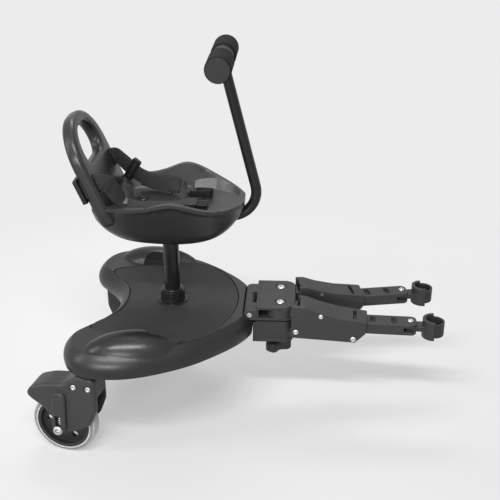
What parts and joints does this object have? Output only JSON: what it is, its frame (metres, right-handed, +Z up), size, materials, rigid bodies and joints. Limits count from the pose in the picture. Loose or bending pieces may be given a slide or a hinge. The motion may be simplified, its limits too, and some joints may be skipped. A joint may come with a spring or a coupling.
{
  "type": "buggy board",
  "caption": "Ride-on buggy board with a bucket seat, T-bar handle, sprung swivel casters and folding towing arms that clamp to a pushchair frame",
  "frame": {"origin": "on the floor under the middle of the overall length, on the board's centre line", "axes": "+X forwards to the pushchair, +Y to the board's left side, +Z up"},
  "size_m": [0.6289, 0.3842, 0.5894],
  "materials": {
    "deck_plastic": "satin black moulded plastic",
    "seat_plastic": "satin black moulded plastic",
    "coupler_plastic": "fine-grained black plastic",
    "fork_plastic": "fine-grained black plastic",
    "buckle_plastic": "smooth black plastic",
    "mat_rubber": "stippled black grip mat",
    "strap_rubber": "smooth black rubber",
    "foam": "closed-cell black foam",
    "tyre": "pale cast polyurethane",
    "webbing": "woven black webbing",
    "painted_tube": "satin black powder coat",
    "bright_steel": "bright zinc plate",
    "bush_brass": "plain turned bush"
  },
  "bodies": {
    "board": {"platform": "deck_plastic", "grip_mat": "mat_rubber", "post_socket": "painted_tube", "hinge_bracket": "fork_plastic", "hinge_pin": "bright_steel", "caster_bushes": "bush_brass"},
    "collar": {"post_collar": "coupler_plastic"},
    "seat": {"seat_post": "painted_tube", "seat_plate": "painted_tube", "seat_screws": "bright_steel", "seat_shell": "seat_plastic", "handle_tube": "painted_tube", "grip_core": "painted_tube", "foam_grips": "foam", "grip_caps": "buckle_plastic", "far_strap": "webbing", "near_strap": "webbing", "strap_sliders": "buckle_plastic", "strap_adjuster": "buckle_plastic", "buckle_socket": "buckle_plastic", "buckle_tongue": "buckle_plastic"},
    "coupler": {"coupler_block": "coupler_plastic", "arm_bolts": "bright_steel", "clamp_housing": "coupler_plastic"},
    "knob": {"wing_knob": "coupler_plastic", "clamp_screw": "bright_steel"},
    "arm_near": {"arm_housing_near": "coupler_plastic", "arm_screws_near": "bright_steel", "lever_pin_near": "bright_steel"},
    "lever_near": {"latch_lever_near": "coupler_plastic"},
    "bar_near": {"extension_bar_near": "coupler_plastic", "connector_pin_near": "bright_steel"},
    "connector_near": {"connector_saddle_near": "coupler_plastic", "connector_strap_near": "strap_rubber"},
    "arm_far": {"arm_housing_far": "coupler_plastic", "arm_screws_far": "bright_steel", "lever_pin_far": "bright_steel"},
    "lever_far": {"latch_lever_far": "coupler_plastic"},
    "bar_far": {"extension_bar_far": "coupler_plastic", "connector_pin_far": "bright_steel"},
    "connector_far": {"connector_saddle_far": "coupler_plastic", "connector_strap_far": "strap_rubber"},
    "caster_near": {"caster_stem_near": "bright_steel", "fork_outer_near": "fork_plastic", "fork_inner_near": "fork_plastic", "fork_screws_near": "bright_steel", "fork_springs_near": "bright_steel"},
    "axle_near": {"axle_bolt_near": "bright_steel"},
    "wheel_near": {"wheel_hub_near": "fork_plastic", "wheel_tyre_near": "tyre", "wheel_bearings_near": "bright_steel"},
    "caster_far": {"caster_stem_far": "bright_steel", "fork_outer_far": "fork_plastic", "fork_inner_far": "fork_plastic", "fork_screws_far": "bright_steel", "fork_springs_far": "bright_steel"},
    "axle_far": {"axle_bolt_far": "bright_steel"},
    "wheel_far": {"wheel_hub_far": "fork_plastic", "wheel_tyre_far": "tyre", "wheel_bearings_far": "bright_steel"}
  },
  "joints": [
    {"name": "seat_lift", "type": "slide", "parent": "board", "child": "seat", "axis": [0, 0, 1], "range_m": [0, 0.03]},
    {"name": "collar_turn", "type": "hinge", "parent": "board", "child": "collar", "pos_m": [-0.11276, 0, 0.1936], "axis": [0, 0, 1], "range_deg": [0, 90]},
    {"name": "coupler_fold", "type": "hinge", "parent": "board", "child": "coupler", "pos_m": [0.01224, 0, 0.1806], "axis": [0, -1, 0], "range_deg": [0, 75]},
    {"name": "knob_turn", "type": "hinge", "parent": "coupler", "child": "knob", "pos_m": [0.05524, 0, 0.107], "axis": [0, 0, 1], "range_deg": [0, 360]},
    {"name": "arm_swing_near", "type": "hinge", "parent": "coupler", "child": "arm_near", "pos_m": [0.06024, -0.0256, 0.1836], "axis": [0, 0, -1], "range_deg": [-2.5, 17.5]},
    {"name": "latch_press_near", "type": "hinge", "parent": "arm_near", "child": "lever_near", "pos_m": [0.12403, -0.03179, 0.1846], "axis": [-0.0436, -0.999, 0], "range_deg": [-2.5, 5]},
    {"name": "bar_slide_near", "type": "slide", "parent": "arm_near", "child": "bar_near", "axis": [0.999, -0.0436, 0], "range_m": [-0.033, 0.033]},
    {"name": "connector_turn_near", "type": "hinge", "parent": "bar_near", "child": "connector_near", "pos_m": [0.2629, -0.03785, 0.1646], "axis": [0, 0, 1], "range_deg": [-30, 30]},
    {"name": "arm_swing_far", "type": "hinge", "parent": "coupler", "child": "arm_far", "pos_m": [0.06024, 0.0256, 0.1836], "axis": [0, 0, 1], "range_deg": [-11, 9]},
    {"name": "latch_press_far", "type": "hinge", "parent": "arm_far", "child": "lever_far", "pos_m": [0.12241, 0.04115, 0.1846], "axis": [0.1908, -0.9816, 0], "range_deg": [-2.5, 5]},
    {"name": "bar_slide_far", "type": "slide", "parent": "arm_far", "child": "bar_far", "axis": [0.9816, 0.1908, 0], "range_m": [-0.033, 0.033]},
    {"name": "connector_turn_far", "type": "hinge", "parent": "bar_far", "child": "connector_far", "pos_m": [0.25886, 0.06767, 0.1646], "axis": [0, 0, 1], "range_deg": [-30, 30]},
    {"name": "caster_swivel_near", "type": "hinge", "parent": "board", "child": "caster_near", "pos_m": [-0.22526, -0.158, 0.1466], "axis": [0, 0, 1], "continuous": true},
    {"name": "suspension_near", "type": "slide", "parent": "caster_near", "child": "axle_near", "axis": [0, 0, 1], "range_m": [0, 0.008], "stiffness_N_per_m": 15000, "springref_m": -0.002, "deforming": ["fork_springs_near"]},
    {"name": "wheel_spin_near", "type": "hinge", "parent": "axle_near", "child": "wheel_near", "pos_m": [-0.26047, -0.15052, 0.05], "axis": [0.2079, 0.9781, 0], "continuous": true},
    {"name": "caster_swivel_far", "type": "hinge", "parent": "board", "child": "caster_far", "pos_m": [-0.22526, 0.158, 0.1466], "axis": [0, 0, 1], "continuous": true},
    {"name": "suspension_far", "type": "slide", "parent": "caster_far", "child": "axle_far", "axis": [0, 0, 1], "range_m": [0, 0.008], "stiffness_N_per_m": 15000, "springref_m": -0.002, "deforming": ["fork_springs_far"]},
    {"name": "wheel_spin_far", "type": "hinge", "parent": "axle_far", "child": "wheel_far", "pos_m": [-0.18961, 0.15299, 0.05], "axis": [-0.1392, -0.9903, 0], "continuous": true}
  ]
}
